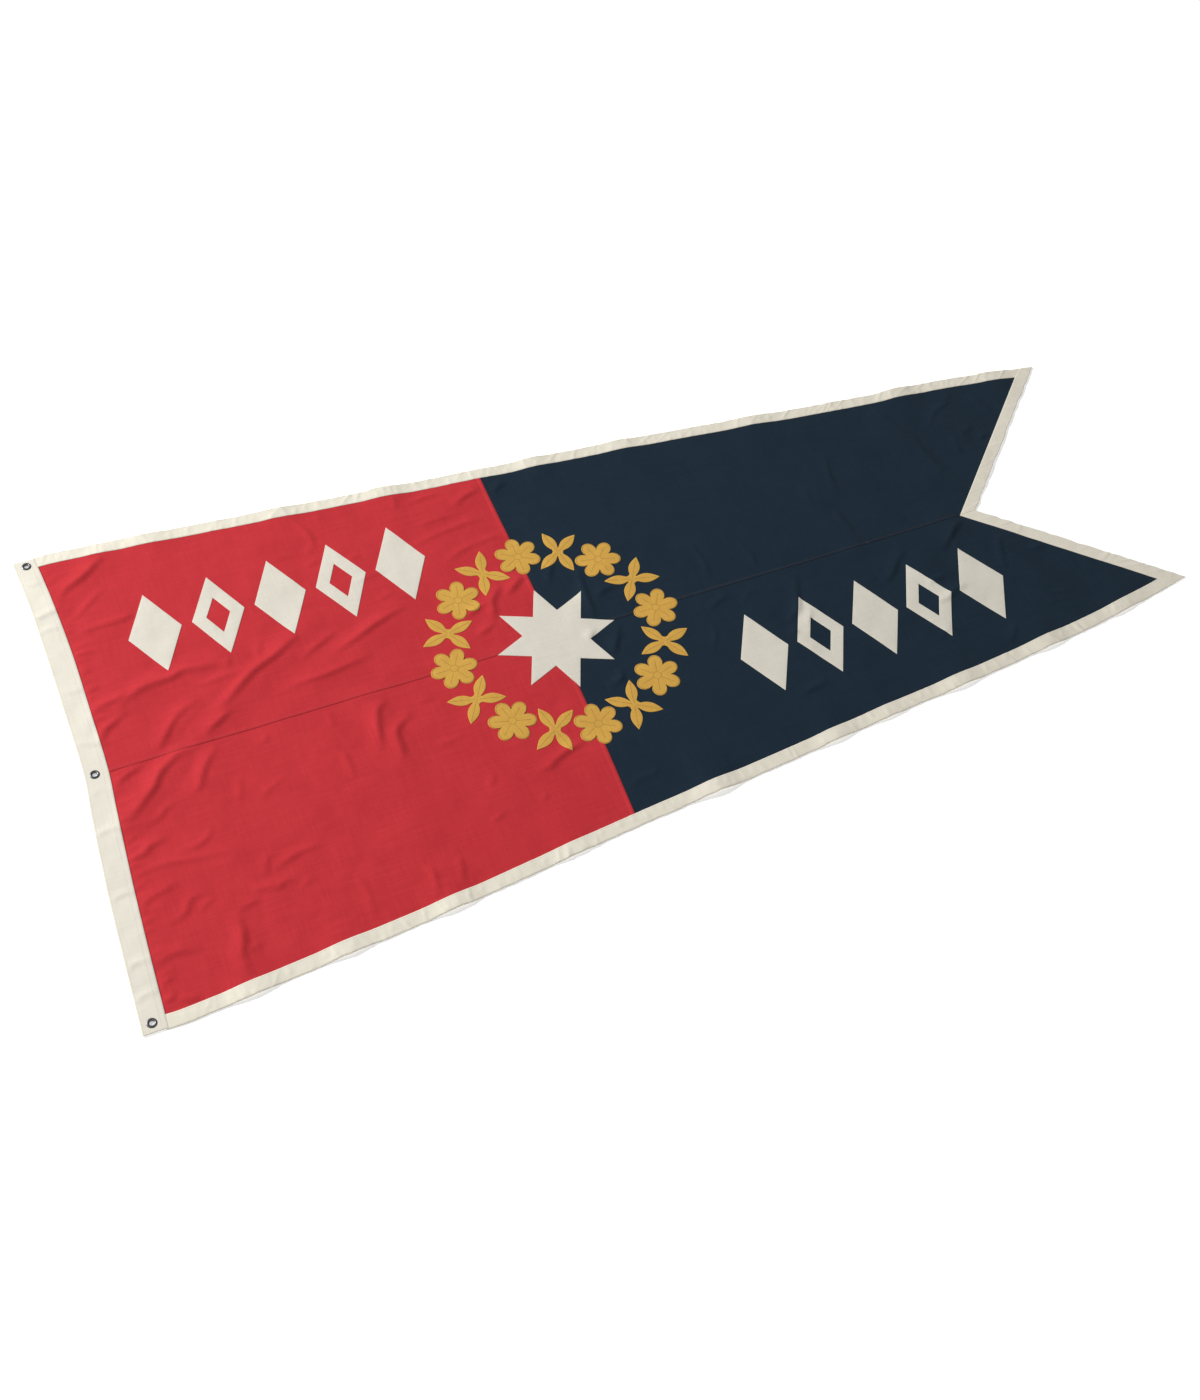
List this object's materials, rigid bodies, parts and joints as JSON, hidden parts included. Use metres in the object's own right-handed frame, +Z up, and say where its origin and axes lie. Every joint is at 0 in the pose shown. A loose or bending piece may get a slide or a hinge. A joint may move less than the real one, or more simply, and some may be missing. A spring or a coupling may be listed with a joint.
{
  "type": "pennant flag",
  "caption": "Swallow-tailed pennant flag of sewn red and blue cloth with cream edging, a floral ring and star, rows of lozenges and eyelets along its heading, lying flat.",
  "frame": {"origin": "on the floor under the middle of the flag's bounding box", "axes": "+X from the hoist to the tails, +Y up the hoist, +Z up from the floor through the cloth"},
  "size_m": [1.954, 0.9178, 0.0079],
  "materials": {
    "red_bunting": "matt woven bunting, soft red",
    "blue_bunting": "matt woven bunting, dark blue",
    "heading_canvas": "matt cream canvas",
    "cream_binding": "matt cream folded binding",
    "cream_cotton": "matt cream cotton with stitched edges",
    "gold_cotton": "matt gold cotton with brown thread lines",
    "dark_nickel": "dark nickel, rolled rim"
  },
  "bodies": {
    "root": {"field_red_upper": "red_bunting", "field_red_lower": "red_bunting", "field_blue_upper": "blue_bunting", "field_blue_lower": "blue_bunting", "heading": "heading_canvas", "edge_band_top": "cream_binding", "edge_band_bottom": "cream_binding", "tail_band_upper": "cream_binding", "tail_band_lower": "cream_binding", "eyelet_top": "dark_nickel", "eyelet_middle": "dark_nickel", "eyelet_bottom": "dark_nickel", "lozenge_red_1": "cream_cotton", "lozenge_red_2": "cream_cotton", "lozenge_red_3": "cream_cotton", "lozenge_red_4": "cream_cotton", "lozenge_red_5": "cream_cotton", "lozenge_blue_1": "cream_cotton", "lozenge_blue_2": "cream_cotton", "lozenge_blue_3": "cream_cotton", "lozenge_blue_4": "cream_cotton", "lozenge_blue_5": "cream_cotton", "centre_star": "cream_cotton", "ring_flower_1": "gold_cotton", "ring_flower_2": "gold_cotton", "ring_flower_3": "gold_cotton", "ring_flower_4": "gold_cotton", "ring_flower_5": "gold_cotton", "ring_flower_6": "gold_cotton", "ring_flower_7": "gold_cotton", "ring_flower_8": "gold_cotton", "ring_sprig_1": "gold_cotton", "ring_sprig_2": "gold_cotton", "ring_sprig_3": "gold_cotton", "ring_sprig_4": "gold_cotton", "ring_sprig_5": "gold_cotton", "ring_sprig_6": "gold_cotton", "ring_sprig_7": "gold_cotton", "ring_sprig_8": "gold_cotton"}
  },
  "joints": []
}
